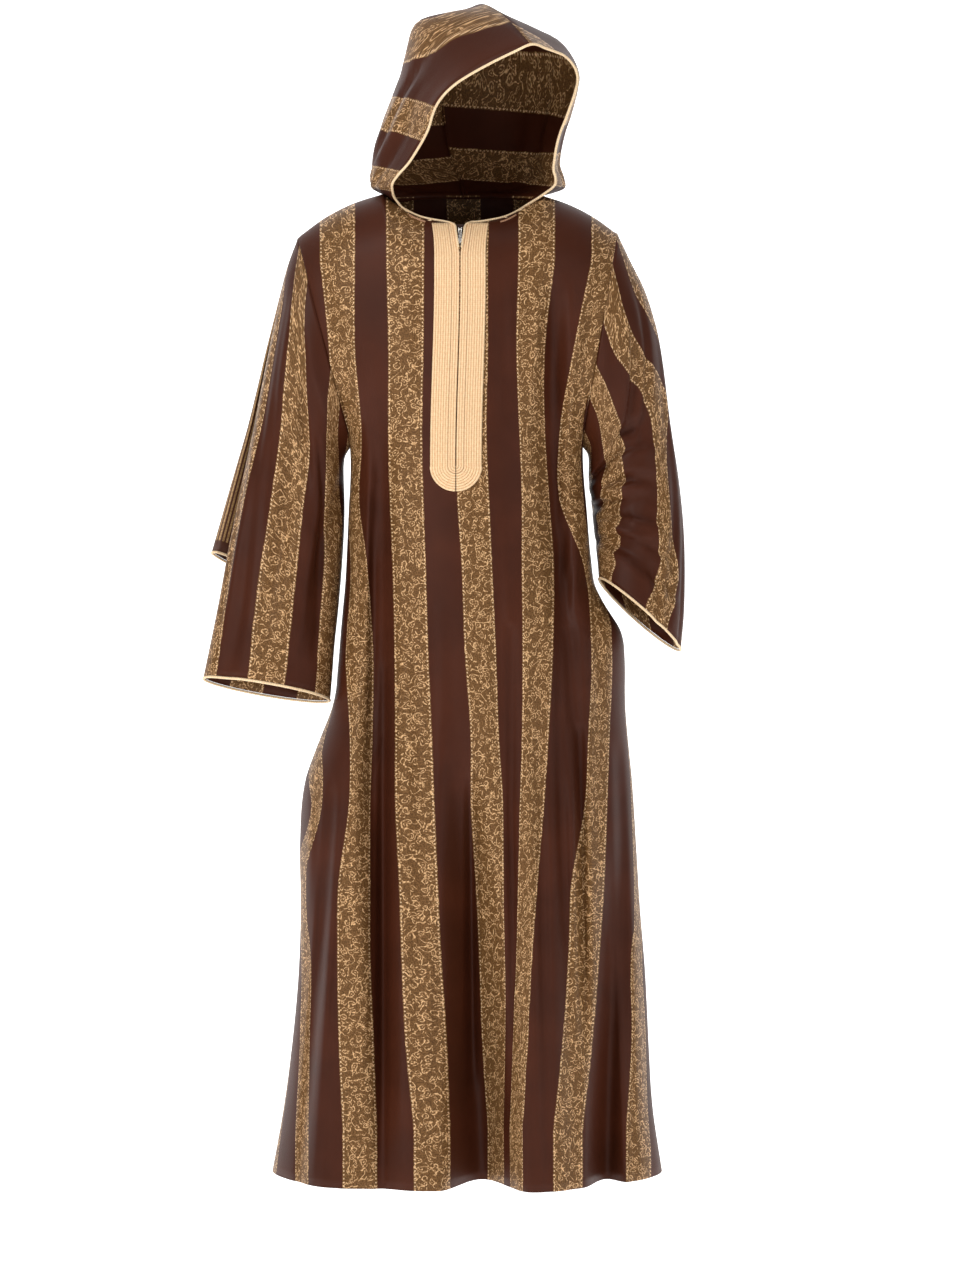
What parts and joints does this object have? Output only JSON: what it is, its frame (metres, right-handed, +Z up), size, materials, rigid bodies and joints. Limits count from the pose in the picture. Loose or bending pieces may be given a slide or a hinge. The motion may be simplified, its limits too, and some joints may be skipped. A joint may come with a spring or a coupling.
{
  "type": "hooded robe",
  "caption": "Full-length hooded robe of striped satin, filled out as worn and open at neck, cuffs, pocket and hem, with a braided front slit and a small zip.",
  "frame": {"origin": "base of the neck, between the shoulders that carry the robe", "axes": "+Z up, the front of the robe towards -Y, +X towards the wearer's left"},
  "size_m": [0.7165, 0.4117, 1.7384],
  "materials": {
    "striped_satin": "satin with woven gold stripes",
    "pinstriped_satin": "satin with fine woven stripes",
    "cream_braid": "sewn rayon braid",
    "cream_piping": "twisted cord",
    "brown_tape": "woven tape, matt",
    "nickel": "nickel plate"
  },
  "bodies": {
    "robe": {"body_front": "striped_satin", "body_back": "striped_satin", "hood_right": "striped_satin", "hood_left": "striped_satin", "sleeve_right": "striped_satin", "sleeve_left": "striped_satin", "over_sleeve": "pinstriped_satin", "placket_right": "cream_braid", "placket_left": "cream_braid", "hood_piping": "cream_piping", "neck_cord_right": "cream_piping", "neck_cord_left": "cream_piping", "neck_piping_right": "cream_piping", "neck_piping_left": "cream_piping", "cuff_piping_right": "cream_piping", "cuff_piping_left": "cream_piping", "over_sleeve_piping": "cream_piping", "zip_tape": "brown_tape", "zip_slider": "nickel"},
    "zip_pull": {"zip_pull": "nickel"}
  },
  "joints": [
    {"name": "pull_hinge", "type": "hinge", "parent": "robe", "child": "zip_pull", "pos_m": [0.001, -0.10939, -0.05869], "axis": [-1, 0, 0], "range_deg": [0, 110]}
  ]
}
